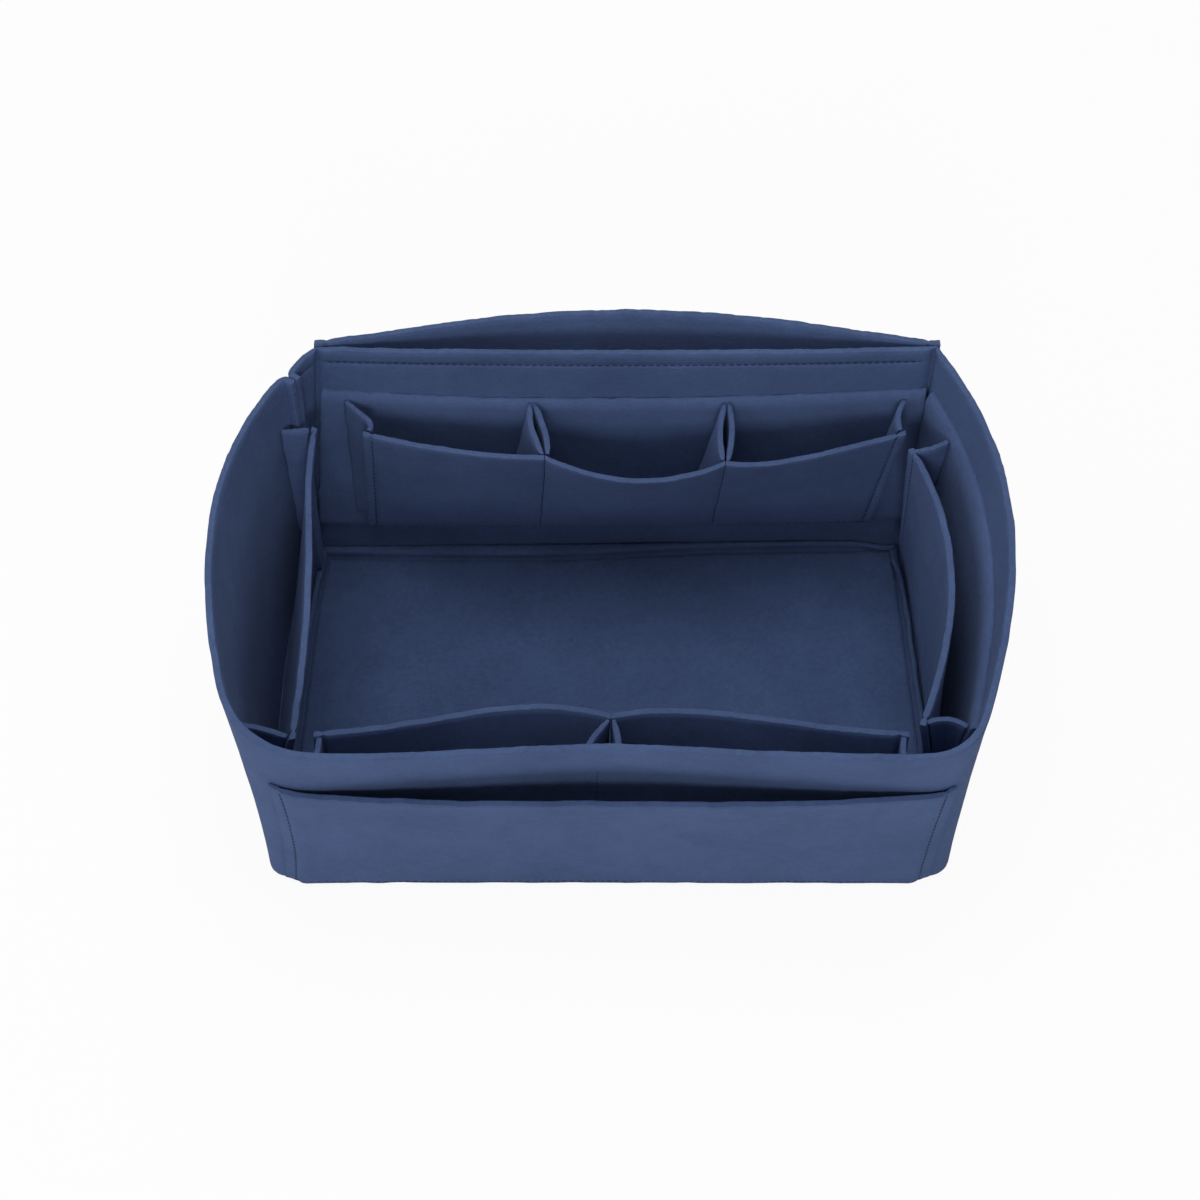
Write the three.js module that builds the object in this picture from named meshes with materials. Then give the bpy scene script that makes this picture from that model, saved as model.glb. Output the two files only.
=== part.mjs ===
// Felt purse organizer insert: an open tub sewn from one wrap strip and a turned-up base,
// with gusseted pockets round the inside and a slip pocket on the front and on the back.
// Millimetres, +Z up, +Y towards the back wall, origin at the middle of the underside.
import * as THREE from 'three';

// Felt and the clearance between layers that are sewn together
const felt = 3;
const seamGap = 0.3;
const feltColour = 0x3b4f79;
const feltRoughness = 0.95;

// Tub: base, height, lean of the long walls and swell of the short ones at the rim
const baseBackLength = 270;
const baseFrontLength = 279;
const baseWidth = 173;
const wallHeight = 120;
const frontLean = 17.5;
const backLean = 17.9;
const backLeftShift = 11;
const backRightShift = 4;
const frontLeftFlare = 0.5;
const frontRightFlare = -1;
const leftSwell = 31;
const leftPeak = 0.43;
const leftFullness = 0.85;
const rightSwell = 24.5;
const rightPeak = 0.55;
const frontDip = 4.5;
const frontDipSharpness = 4;
const backDip = 2.6;
const frontLeftCornerBase = 16;
const frontRightCornerBase = 22;
const frontCornerRim = 20;

// Closing seam of the wrap, turned inwards near the back left corner
const seamInset = 16;
const seamFlange = 4.5;

// Base panel: its seam allowance stands up inside the wall
const lipHeight = 8;

// Outer slip pockets
const slipFoot = 1;
const frontSlipTop = 90;
const frontSlipBareCorner = 0.6;
const frontSlipBow = 7;
const backSlipBow = 20;
const backSlipFullness = 1.3;
const backSlipTab = 1.5;

// Inner pockets: heights shared by all four walls
const pocketFoot = 22;
const pocketTop = 98;
const backingTop = 101;
const gussetTip = 2.5;
const maxSlant = 2.2;
const pinchedEdge = 2;

// Back pockets, in three, with two pleats between them
const backBackingInset = 7;
const backBackingSlack = 4;
const backLeftEndTop = 22;
const backLeftEndFoot = 25;
const backRightEndTop = 11;
const backRightEndFoot = 19;
const backLeftGussetWall = 14;
const backRightGussetWall = 10.5;
const backLeftPleatTop = 101;
const backLeftPleatFoot = 102;
const backLeftPleatWall = 95;
const backRightPleatTop = 90;
const backRightPleatFoot = 86;
const backRightPleatWall = 88;
const backEndDepth = 18;
const backPleatDepth = 30;
const backMiddleBulge = 10;
const backPleatSpread = 3;

// Front pockets, in two, with one pleat between them
const frontBackingMargin = 1;
const frontLeftEndTop = 25;
const frontRightEndTop = 23;
const frontEndFoot = 27;
const frontGussetWall = 24;
const frontPleatFromLeft = 140.5;
const frontPleatLeftWall = 131;
const frontPleatRightWall = 143;
const frontEndDepth = 14.5;
const frontPleatDepth = 19.5;
const frontLeftBulge = 6.5;
const frontLeftPeak = 0.68;
const frontRightBulge = 4.5;
const frontRightPeak = 0.32;
const frontPleatSpread = 0.5;

// Side pockets, one on each short wall; only the right one has a backing
const rightBackingBackInset = 8;
const seamMargin = 2;
const leftBackEndTop = 17;
const leftBackEndFoot = 26.5;
const leftBackGussetWall = 24;
const leftFrontEndTop = 14;
const leftFrontEndFoot = 20;
const leftFrontGussetWall = 25;
const leftBackEndDepth = 10;
const leftFrontEndDepth = 17.3;
const leftBulge = 16.5;
const rightBackEndTop = 29;
const rightBackEndFoot = 22;
const rightBackGussetWall = 28.5;
const rightFrontEndTop = 20;
const rightFrontEndFoot = 22;
const rightFrontGussetWall = 24;
const rightEndDepth = 15;
const rightBulge = -3.5;

// Facets
const longWallSteps = 16;
const cornerSteps = 5;
const backingRows = 5;
const backSlipSteps = 24;
const slipRows = 4;
const panelSteps = 12;
const panelRows = 5;
const leafSteps = 6;

// Backings keep clear of the rounded corners and of the closing seam
const frontCornerReach = Math.max(frontLeftCornerBase, frontRightCornerBase, frontCornerRim);
const frontBackingInset = frontCornerReach + frontBackingMargin;
const leftRunInset = seamInset + felt + seamGap + seamMargin;

const lerp = THREE.MathUtils.lerp;
const up = (plan, z) => new THREE.Vector3(plan.x, plan.y, z);

// A rise and fall along 0 to 1 that is highest, at 1, where f is peak
const middle = 0.5;
function swell(f, peak) {
  const skew = (0.5 - peak) / (peak * (1 - peak));
  const u = f + skew * f * (1 - f);
  return 4 * u * (1 - u);
}

// Corners of the outer face at height z; shift moves a corner to the right at the rim
function corner(length, signX, signY, shift, lean) {
  return (z) => {
    const rise = z / wallHeight;
    const halfWidth = baseWidth / 2 + rise * lean;
    return new THREE.Vector2(signX * length / 2 + rise * shift, signY * halfWidth);
  };
}
const backLeft = corner(baseBackLength, -1, 1, backLeftShift, backLean);
const backRight = corner(baseBackLength, 1, 1, backRightShift, backLean);
const frontLeft = corner(baseFrontLength, -1, -1, -frontLeftFlare, frontLean);
const frontRight = corner(baseFrontLength, 1, -1, frontRightFlare, frontLean);

// The four walls, walked anticlockwise from above, so that the inside is on the left.
// bow is how far the rim stands out from the straight line between its corners.
const walls = {
  left: {
    from: backLeft,
    to: frontLeft,
    bow: (f) => leftSwell * swell(f, leftPeak) ** leftFullness,
  },
  front: {
    from: frontLeft,
    to: frontRight,
    bow: (f) => -frontDip * Math.sin(Math.PI * f) ** frontDipSharpness,
  },
  right: {
    from: frontRight,
    to: backRight,
    bow: (f) => rightSwell * swell(f, rightPeak),
  },
  back: {
    from: backRight,
    to: backLeft,
    bow: (f) => -backDip * swell(f, middle),
  },
};

const wallLength = (wall, z) => wall.from(z).distanceTo(wall.to(z));

// Point of a wall's outer face, f along it from 0 to 1
function wallFace(wall, f, z) {
  const start = wall.from(z);
  const chord = wall.to(z).sub(start);
  const outward = new THREE.Vector2(chord.y, -chord.x).normalize();
  const stand = wall.bow(f) * z / wallHeight;
  return start.addScaledVector(chord, f).addScaledVector(outward, stand);
}

// Point at a depth inside the outer face, square to the wall; a negative depth is outside
function wallInset(wall, f, z, depth) {
  const probe = 1e-3;
  const ahead = wallFace(wall, Math.min(f + probe, 1), z);
  const behind = wallFace(wall, Math.max(f - probe, 0), z);
  const along = ahead.sub(behind).normalize();
  return wallFace(wall, f, z).add(new THREE.Vector2(-along.y, along.x).multiplyScalar(depth));
}

// A closed felt sheet from two matching grids of points, one for each face
function feltSolid(name, front, back) {
  const columns = front.length;
  const rows = front[0].length;
  const points = [...front.flat(), ...back.flat()];
  const at = (face, i, j) => face * columns * rows + i * rows + j;
  const triangles = [];
  const quad = (a, b, c, d) => triangles.push(a, b, c, a, c, d);
  for (let i = 0; i + 1 < columns; i++) {
    for (let j = 0; j + 1 < rows; j++) {
      quad(at(0, i, j), at(0, i + 1, j), at(0, i + 1, j + 1), at(0, i, j + 1));
      quad(at(1, i, j), at(1, i, j + 1), at(1, i + 1, j + 1), at(1, i + 1, j));
    }
    quad(at(0, i, 0), at(1, i, 0), at(1, i + 1, 0), at(0, i + 1, 0));
    quad(at(0, i, rows - 1), at(0, i + 1, rows - 1), at(1, i + 1, rows - 1), at(1, i, rows - 1));
  }
  for (let j = 0; j + 1 < rows; j++) {
    quad(at(0, 0, j), at(0, 0, j + 1), at(1, 0, j + 1), at(1, 0, j));
    const last = columns - 1;
    quad(at(0, last, j), at(1, last, j), at(1, last, j + 1), at(0, last, j + 1));
  }
  return feltMesh(name, points, triangles);
}

function signedVolume(points, triangles) {
  let volume = 0;
  for (let t = 0; t < triangles.length; t += 3) {
    const [a, b, c] = [0, 1, 2].map((n) => points[triangles[t + n]]);
    volume += a.dot(b.clone().cross(c)) / 6;
  }
  return volume;
}

function feltMesh(name, points, triangles) {
  if (signedVolume(points, triangles) < 0) triangles.reverse();
  const geometry = new THREE.BufferGeometry().setFromPoints(points);
  geometry.setIndex(triangles);
  geometry.computeVertexNormals();
  const finish = { color: feltColour, roughness: feltRoughness, metalness: 0 };
  const material = new THREE.MeshStandardMaterial(finish);
  const mesh = new THREE.Mesh(geometry, material);
  mesh.name = name;
  return mesh;
}

const steps = (count) => Array.from({ length: count + 1 }, (_, i) => i / count);

// A sheet between two faces given as plan functions of (f, z), from foot to head
function feltSheet(name, columns, rows, foot, head, frontPlan, backPlan) {
  const heights = steps(rows).map((q) => lerp(foot, head, q));
  const grid = (plan) => steps(columns).map((f) => heights.map((z) => up(plan(f, z), z)));
  return feltSolid(name, grid(frontPlan), grid(backPlan));
}

// Mitred offset of an open run of plan points, to the left of its travel
function offsetLeft(run, distance) {
  const normal = (a, b) => new THREE.Vector2(a.y - b.y, b.x - a.x).normalize();
  return run.map((point, i) => {
    const before = normal(run[Math.max(i - 1, 0)], run[Math.max(i, 1)]);
    const after = normal(run[Math.min(i, run.length - 2)], run[Math.min(i + 1, run.length - 1)]);
    const middle = before.clone().add(after).normalize();
    return point.clone().addScaledVector(middle, distance / middle.dot(before));
  });
}

// A front corner, rounded between two walls; cut is how far it reaches along each wall
function roundedCorner(before, after, cut, z) {
  const a = wallFace(before, 1 - cut / wallLength(before, z), z);
  const b = before.to(z);
  const c = wallFace(after, cut / wallLength(after, z), z);
  return steps(cornerSteps).map((t) => new THREE.Vector2(
    (1 - t) ** 2 * a.x + 2 * t * (1 - t) * b.x + t ** 2 * c.x,
    (1 - t) ** 2 * a.y + 2 * t * (1 - t) * b.y + t ** 2 * c.y));
}
const leftCut = (z) => lerp(frontLeftCornerBase, frontCornerRim, z / wallHeight);
const rightCut = (z) => lerp(frontRightCornerBase, frontCornerRim, z / wallHeight);

// Each wall's pockets: the insets of its backing from the wall's two corners, and slack, how far
// the backing stands off at the middle of its top. The left wall is bare, with no backing.
const backPocket = {
  wall: walls.back,
  backed: true,
  backingFrom: backBackingInset,
  backingTo: backBackingInset,
  slack: backBackingSlack,
};
const frontPocket = {
  wall: walls.front,
  backed: true,
  backingFrom: frontBackingInset,
  backingTo: frontBackingInset,
  slack: 0,
};
const leftPocket = {
  wall: walls.left,
  backed: false,
  backingFrom: leftRunInset,
  backingTo: frontBackingInset,
  slack: 0,
};
const rightPocket = {
  wall: walls.right,
  backed: true,
  backingFrom: frontBackingInset,
  backingTo: rightBackingBackInset,
  slack: 0,
};

// Places along a wall that its backing and the wrap behind it share, so that their facets match.
// The bare wall is stepped in the same way.
function backingPlaces(pocket, z) {
  const length = wallLength(pocket.wall, z);
  const end = length - pocket.backingTo;
  return steps(longWallSteps).map((f) => lerp(pocket.backingFrom, end, f) / length);
}
const backedRun = (pocket, z) => backingPlaces(pocket, z).map((f) => wallFace(pocket.wall, f, z));

// The run from the left front corner round to the right front corner
function frontRun(z) {
  return [
    ...roundedCorner(walls.left, walls.front, leftCut(z), z),
    ...backedRun(frontPocket, z),
    ...roundedCorner(walls.front, walls.right, rightCut(z), z),
  ];
}

// The outer face from one place on the left wall round to another, walked anticlockwise
function ringRun(start, end, z) {
  return [
    wallFace(walls.left, start, z),
    ...backedRun(leftPocket, z),
    ...frontRun(z),
    ...backedRun(rightPocket, z),
    backRight(z),
    ...backedRun(backPocket, z),
    backLeft(z),
    wallFace(walls.left, end, z),
  ];
}
const backingHeights = steps(backingRows).map((q) => lerp(pocketFoot, backingTop, q));
const wrapHeights = [0, lipHeight, ...backingHeights, wallHeight];

// Wrap strip: its two ends turn in at the closing seam and lie back to back.
// The turned-in ends are clipped short at the foot, clear of the base's upturned edge.
function outerWrap() {
  const clipStart = felt + seamGap / 2;
  const flangeDepths = [felt + seamFlange, clipStart];
  const flange = (place, z) => flangeDepths.map((depth) => wallInset(walls.left, place, z, depth));
  const runAt = (z) => {
    const seam = seamInset / wallLength(walls.left, z);
    const half = seamGap / 2 / wallLength(walls.left, z);
    const ring = ringRun(seam + half, seam - half, z);
    return [...flange(seam + half, z), ...ring, ...flange(seam - half, z).reverse()];
  };
  const count = runAt(0).length;
  const flangeFoot = lipHeight + 2 * seamGap;
  const foot = (i) => (Math.min(i, count - 1 - i) < flangeDepths.length ? flangeFoot : 0);
  const face = (offset) => Array.from({ length: count }, (_, i) => wrapHeights.map((height) => {
    const z = lerp(foot(i), wallHeight, height / wallHeight);
    const run = runAt(z);
    return up((offset ? offsetLeft(run, offset) : run)[i], z);
  }));
  return feltSolid('outer_wrap', face(0), face(felt));
}

// Base: a flat floor whose edge is turned up all round inside the wrap
function basePanel() {
  const loop = (inset, z) => {
    const seam = seamInset / wallLength(walls.left, z);
    const run = ringRun(seam, seam, z).slice(0, -1);
    const closed = [run.at(-1), ...run, run[0]];
    return offsetLeft(closed, inset).slice(1, -1).map((point) => up(point, z));
  };
  const outside = felt + seamGap;
  const inside = outside + felt;
  const loops = [
    loop(outside, 0),
    loop(outside, lipHeight),
    loop(inside, lipHeight),
    loop(inside, felt),
  ];
  const count = loops[0].length;
  const floorRing = loops.length - 1;
  const triangles = [];
  for (let ring = 0; ring < floorRing; ring++) {
    for (let i = 0; i < count; i++) {
      const next = (i + 1) % count;
      const [a, b] = [ring * count + i, ring * count + next];
      const [c, d] = [a + count, b + count];
      triangles.push(a, b, d, a, d, c);
    }
  }
  const flat = (ring) => loops[ring].map((point) => new THREE.Vector2(point.x, point.y));
  for (const [a, b, c] of THREE.ShapeUtils.triangulateShape(flat(0), [])) {
    triangles.push(a, c, b);
  }
  const first = floorRing * count;
  for (const [a, b, c] of THREE.ShapeUtils.triangulateShape(flat(floorRing), [])) {
    triangles.push(first + a, first + b, first + c);
  }
  return feltMesh('base_panel', loops.flat(), triangles);
}

// Slip pocket across the front, sewn at its ends and foot, standing off in the middle of its top.
// It starts partway round one front corner and ends partway round the other.
function frontSlipPanel() {
  const bare = Math.round(frontSlipBareCorner * cornerSteps);
  const last = frontRun(0).length - 1 - bare;
  const along = (f) => bare + Math.round(f * (last - bare));
  const face = (depth) => (f, z) => {
    const stand = frontSlipBow * swell(f, middle) * z / frontSlipTop;
    return offsetLeft(frontRun(z), -(seamGap + stand + depth))[along(f)];
  };
  const columns = last - bare;
  return feltSheet('front_slip_panel', columns, panelRows, slipFoot, frontSlipTop, face(0), face(felt));
}

// Slip pocket over the whole back, its ends standing just past the back corners
function backSlipPanel() {
  const face = (depth) => (f, z) => {
    const tab = backSlipTab / wallLength(walls.back, z);
    const stand = backSlipBow * Math.max(0, swell(f, middle)) ** backSlipFullness * z / wallHeight;
    return wallInset(walls.back, lerp(-tab, 1 + tab, f), z, -seamGap - stand - depth);
  };
  return feltSheet('back_slip_panel', backSlipSteps, slipRows, slipFoot, wallHeight, face(0), face(felt));
}

// Backing layer that an inner pocket is sewn to
const pocketRise = (z) => Math.max(0, (z - pocketFoot) / (pocketTop - pocketFoot));
const standOff = (pocket, f, z) => felt + seamGap + pocket.slack * swell(f, middle) * pocketRise(z);
const seatDepth = (pocket, f, z) => standOff(pocket, f, z) + (pocket.backed ? felt + seamGap : 0);

function backing(name, pocket) {
  const face = (depth) => (f, z) => {
    const place = backingPlaces(pocket, z)[Math.round(f * longWallSteps)];
    return wallInset(pocket.wall, place, z, standOff(pocket, place, z) + depth);
  };
  return feltSheet(name, longWallSteps, backingRows, pocketFoot, backingTop, face(0), face(felt));
}

// A pocket's front panel: from and to each give the place of an end at its foot and at its top.
// Its wall-side face lies on the backing, or on the bare wall, at its foot and stands off by its
// depths at its top.
function panelEnd(panel, end, z) {
  const [foot, top] = panel[end];
  const length = wallLength(panel.pocket.wall, z);
  return lerp(foot(z, length), top(z, length), pocketRise(z));
}

function panelPlan(panel, f, z, lift) {
  const { pocket } = panel;
  const along = lerp(panelEnd(panel, 'from', z), panelEnd(panel, 'to', z), f);
  const place = along / wallLength(pocket.wall, z);
  const depth = lerp(panel.fromDepth, panel.toDepth, f) + panel.bulge * swell(f, panel.peak);
  const seat = seatDepth(pocket, place, z);
  return wallInset(pocket.wall, place, z, seat + pocketRise(z) * depth + lift);
}

function pocketPanel(name, panel) {
  const face = (lift) => (f, z) => panelPlan(panel, f, z, lift);
  return feltSheet(name, panelSteps, panelRows, pocketFoot, pocketTop, face(0), face(felt));
}

// A gusset or pleat leaf, running from the backing or bare wall to the wall-side face of a panel
// near one end. It runs out towards the foot, where the panel is sewn down.
function foldLeaf({ name, panel, end, wallPlace, setback = 0, spread = 0 }) {
  const { pocket } = panel;
  const towards = end === 'from' ? 1 : -1;
  const endDepth = end === 'from' ? panel.fromDepth : panel.toDepth;
  const foot = lerp(pocketFoot, pocketTop, gussetTip / endDepth);
  const width = (z) => panelEnd(panel, 'to', z) - panelEnd(panel, 'from', z);
  const endsAt = (across, z) => {
    const length = wallLength(pocket.wall, z);
    const fromEnd = (setback + across) / width(z);
    const place = (wallPlace(z, length) + towards * across) / length;
    return [
      wallInset(pocket.wall, place, z, seatDepth(pocket, place, z)),
      panelPlan(panel, end === 'from' ? fromEnd : 1 - fromEnd, z, -seamGap),
    ];
  };
  // Where the leaf slants, its cut along the wall is wider than the felt is thick
  const slant = (z) => {
    const [wallEnd, front] = endsAt(0, z);
    const depth = endDepth * pocketRise(z);
    return Math.min(maxSlant, wallEnd.distanceTo(front) / depth);
  };
  const face = (thickness) => (t, z) => {
    const [wallEnd, front] = endsAt(thickness * slant(z), z);
    const run = new THREE.Vector2().subVectors(front, wallEnd).normalize();
    const side = new THREE.Vector2(-run.y, run.x).multiplyScalar(-towards);
    const bow = spread * pocketRise(z) * Math.sin(Math.PI * t);
    return wallEnd.lerp(front, t).addScaledVector(side, bow);
  };
  return feltSheet(name, leafSteps, panelRows, foot, pocketTop, face(0), face(felt));
}

// Pockets of the four walls. Places along a wall are measured from its first corner.
const pleatHalf = seamGap / 2;
const fromFar = (inset) => (z, length) => length - inset;
const fromNear = (inset) => () => inset;

// The back wall is walked from right to left
const backRightPanel = {
  pocket: backPocket,
  from: [fromNear(backRightEndFoot), fromNear(backRightEndTop)],
  to: [fromNear(backRightPleatFoot - pleatHalf), fromNear(backRightPleatTop - pleatHalf)],
  fromDepth: backEndDepth,
  toDepth: backPleatDepth,
  bulge: 0,
  peak: middle,
};
const backMiddlePanel = {
  pocket: backPocket,
  from: [fromNear(backRightPleatFoot + pleatHalf), fromNear(backRightPleatTop + pleatHalf)],
  to: [fromFar(backLeftPleatFoot + pleatHalf), fromFar(backLeftPleatTop + pleatHalf)],
  fromDepth: backPleatDepth,
  toDepth: backPleatDepth,
  bulge: backMiddleBulge,
  peak: middle,
};
const backLeftPanel = {
  pocket: backPocket,
  from: [fromFar(backLeftPleatFoot - pleatHalf), fromFar(backLeftPleatTop - pleatHalf)],
  to: [fromFar(backLeftEndFoot), fromFar(backLeftEndTop)],
  fromDepth: backPleatDepth,
  toDepth: backEndDepth,
  bulge: 0,
  peak: middle,
};
const frontLeftPanel = {
  pocket: frontPocket,
  from: [fromNear(frontEndFoot), fromNear(frontLeftEndTop)],
  to: [fromNear(frontPleatFromLeft - pleatHalf), fromNear(frontPleatFromLeft - pleatHalf)],
  fromDepth: frontEndDepth,
  toDepth: frontPleatDepth,
  bulge: frontLeftBulge,
  peak: frontLeftPeak,
};
const frontRightPanel = {
  pocket: frontPocket,
  from: [fromNear(frontPleatFromLeft + pleatHalf), fromNear(frontPleatFromLeft + pleatHalf)],
  to: [fromFar(frontEndFoot), fromFar(frontRightEndTop)],
  fromDepth: frontPleatDepth,
  toDepth: frontEndDepth,
  bulge: frontRightBulge,
  peak: frontRightPeak,
};
const leftPanel = {
  pocket: leftPocket,
  from: [fromNear(leftBackEndFoot), fromNear(leftBackEndTop)],
  to: [fromFar(leftFrontEndFoot), fromFar(leftFrontEndTop)],
  fromDepth: leftBackEndDepth,
  toDepth: leftFrontEndDepth,
  bulge: leftBulge,
  peak: middle,
};
const rightPanel = {
  pocket: rightPocket,
  from: [fromNear(rightFrontEndFoot), fromNear(rightFrontEndTop)],
  to: [fromFar(rightBackEndFoot), fromFar(rightBackEndTop)],
  fromDepth: rightEndDepth,
  toDepth: rightEndDepth,
  bulge: rightBulge,
  peak: middle,
};

// Gussets close the ends of a pocket strip, set back behind its pinched edge
const gussets = [
  { name: 'back_gusset_right', panel: backRightPanel, end: 'from', wallPlace: fromNear(backRightGussetWall) },
  { name: 'back_gusset_left', panel: backLeftPanel, end: 'to', wallPlace: fromFar(backLeftGussetWall) },
  { name: 'front_gusset_left', panel: frontLeftPanel, end: 'from', wallPlace: fromNear(frontGussetWall) },
  { name: 'front_gusset_right', panel: frontRightPanel, end: 'to', wallPlace: fromFar(frontGussetWall) },
  { name: 'left_gusset_back', panel: leftPanel, end: 'from', wallPlace: fromNear(leftBackGussetWall) },
  { name: 'left_gusset_front', panel: leftPanel, end: 'to', wallPlace: fromFar(leftFrontGussetWall) },
  { name: 'right_gusset_front', panel: rightPanel, end: 'from', wallPlace: fromNear(rightFrontGussetWall) },
  { name: 'right_gusset_back', panel: rightPanel, end: 'to', wallPlace: fromFar(rightBackGussetWall) },
];

// Pleats part two pockets of one strip: a leaf from each panel, sewn side by side to the backing
const pleatLeaves = [
  {
    name: 'back_right_pleat_outer_leaf',
    panel: backRightPanel,
    end: 'to',
    wallPlace: fromNear(backRightPleatWall - pleatHalf),
    spread: backPleatSpread,
  },
  {
    name: 'back_right_pleat_inner_leaf',
    panel: backMiddlePanel,
    end: 'from',
    wallPlace: fromNear(backRightPleatWall + pleatHalf),
    spread: backPleatSpread,
  },
  {
    name: 'back_left_pleat_inner_leaf',
    panel: backMiddlePanel,
    end: 'to',
    wallPlace: fromFar(backLeftPleatWall + pleatHalf),
    spread: backPleatSpread,
  },
  {
    name: 'back_left_pleat_outer_leaf',
    panel: backLeftPanel,
    end: 'from',
    wallPlace: fromFar(backLeftPleatWall - pleatHalf),
    spread: backPleatSpread,
  },
  {
    name: 'front_pleat_left_leaf',
    panel: frontLeftPanel,
    end: 'to',
    wallPlace: fromNear(frontPleatLeftWall),
    spread: frontPleatSpread,
  },
  {
    name: 'front_pleat_right_leaf',
    panel: frontRightPanel,
    end: 'from',
    wallPlace: fromNear(frontPleatRightWall),
    spread: frontPleatSpread,
  },
];

const group = new THREE.Group();
group.add(basePanel(), outerWrap(), frontSlipPanel(), backSlipPanel());

group.add(backing('back_pocket_backing', backPocket));
group.add(pocketPanel('back_pocket_panel_right', backRightPanel));
group.add(pocketPanel('back_pocket_panel_middle', backMiddlePanel));
group.add(pocketPanel('back_pocket_panel_left', backLeftPanel));

group.add(backing('front_pocket_backing', frontPocket));
group.add(pocketPanel('front_pocket_panel_left', frontLeftPanel));
group.add(pocketPanel('front_pocket_panel_right', frontRightPanel));

group.add(pocketPanel('left_pocket_panel', leftPanel));

group.add(backing('right_pocket_backing', rightPocket));
group.add(pocketPanel('right_pocket_panel', rightPanel));

for (const gusset of gussets) {
  group.add(foldLeaf({ ...gusset, setback: pinchedEdge }));
}
for (const leaf of pleatLeaves) {
  group.add(foldLeaf(leaf));
}

export default group;
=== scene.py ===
import math
import bpy
import numpy as np
from mathutils import Matrix, Vector


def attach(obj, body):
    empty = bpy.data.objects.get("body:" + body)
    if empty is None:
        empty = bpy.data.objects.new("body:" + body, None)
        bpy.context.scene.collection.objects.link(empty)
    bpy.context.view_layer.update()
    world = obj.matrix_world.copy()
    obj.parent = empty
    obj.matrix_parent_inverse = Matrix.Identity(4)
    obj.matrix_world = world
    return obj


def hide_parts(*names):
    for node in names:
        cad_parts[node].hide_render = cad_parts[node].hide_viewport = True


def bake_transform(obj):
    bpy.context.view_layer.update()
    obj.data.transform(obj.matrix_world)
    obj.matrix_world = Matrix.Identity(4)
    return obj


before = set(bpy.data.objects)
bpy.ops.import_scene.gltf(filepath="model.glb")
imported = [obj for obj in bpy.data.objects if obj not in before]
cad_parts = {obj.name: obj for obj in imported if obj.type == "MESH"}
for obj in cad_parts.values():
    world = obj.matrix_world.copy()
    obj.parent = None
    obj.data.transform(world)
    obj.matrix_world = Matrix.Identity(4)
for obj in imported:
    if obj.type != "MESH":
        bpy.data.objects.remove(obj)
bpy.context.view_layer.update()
print("frame loaded:", len(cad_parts), "felt pieces")

# lengths are in millimetres here, and meshes are made in metres
mm = 0.001

felt = {
    "thick": 3.0,
    "gap": 0.3,         # between layers that are sewn together
    "step": 2.0,        # grid of a sheet
    "edgeLines": (0, 0.12, 0.4),                         # grid lines at a cut, as shares of edgeRound
    "seamLines": (-1.8, -1.1, -0.5, 0, 0.5, 1.1, 1.8),   # and beside a seam
    "seamClear": 2.3,   # other grid lines keep this far from a seam
    "edgeRound": 0.5,   # how far in from a cut edge the felt starts to thin
    "edgeLeft": 0.84,   # share of the thickness left at the cut itself
    "edgeTurn": 0.14,   # share of the cut face that turns into the sheet's own faces
    "fuzz": 0.2,        # raggedness of a cut edge
    "wobble": 0.28,     # how far a cut strays from its line
    "wobbleReach": 2.5,
    "lump": 0.13,
    "smallLump": 0.4,   # share of the large lumps
    "grain": 0.04,
    "grainShift": 40.0,   # the two faces of a sheet have grain of their own
}
halfGap = felt["gap"] / 2

# wavelength and seed of each noise
feltNoise = {
    "lump": (27, 1), "smallLump": (9, 2), "grain": (2.6, 3), "floor": (34, 4),
    "rim": (46, 11), "longRipple": (17, 9), "shortRipple": (6, 12),
}
fuzzWave, fuzzSeeds = 1.3, (5, 6, 7)
wobbleWave, wobbleSeeds = 8, (15, 16, 17)

tub = {
    "backLength": 270, "frontLength": 285, "width": 173, "height": 120, "backRightReach": 4,
    "frontLean": 17.5, "backLean": 17.9,
    "backLeftShift": 11, "backRightShift": 4, "frontLeftShift": 2.5, "frontRightShift": -4,
    "leftSwell": 31, "leftPeak": 0.43, "leftFullness": 0.85,
    "rightSwell": 24.5, "rightPeak": 0.55,
    "frontDip": 4.5, "frontDipSharpness": 4, "backDip": 2.6,
    "leftCutBase": 8, "leftCutRim": 32, "rightCutBase": 11, "rightCutRim": 20,   # front corners
    "backCut": 2, "crease": 0.6,                          # the back corners are creased
    "cornerSteps": 15, "creaseSteps": 9, "stubSteps": 8,
    "seamInset": 16, "seamFlange": 4.5, "seamTurn": 4, "flangeFoot": 9,
    "tuck": 1.6, "tuckHeight": 6,                         # the foot of the wall is drawn in by its seam
}

# the front wall is pressed in behind the mouth of its slip pocket
frontDent = {"depth": 5, "fullness": 1.5, "peak": 84, "below": 28, "above": 30}


def lerp(a, b, t):
    return a + (b - a) * t


def ease(t):  # 0 to 1 with soft ends
    return t * t * (3 - 2 * t)


def unit(v):
    return v / np.maximum(np.linalg.norm(v, axis=-1, keepdims=True), 1e-9)


def leftOf(v):  # a quarter turn in plan
    return np.stack([-v[..., 1], v[..., 0]], -1)


def swell(f, peak=0.5):  # 0 at both ends and 1 at the peak
    skew = (0.5 - peak) / (peak * (1 - peak))
    u = f + skew * f * (1 - f)
    return np.clip(4 * u * (1 - u), 0, None)


def tubCorner(length, signX, signY, shift, lean, reach=0):  # reach: further out at the foot
    def at(z):
        z = np.asarray(z, float)
        rise = z / tub["height"]
        tuck = tub["tuck"] * np.clip(1 - z / tub["tuckHeight"], 0, 1) ** 2
        x = signX * (length / 2 - tuck) + rise * shift
        y = signY * (tub["width"] / 2 - tuck + rise * lean + (1 - rise) * reach)
        return np.stack([x, y], -1)
    return at


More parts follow.
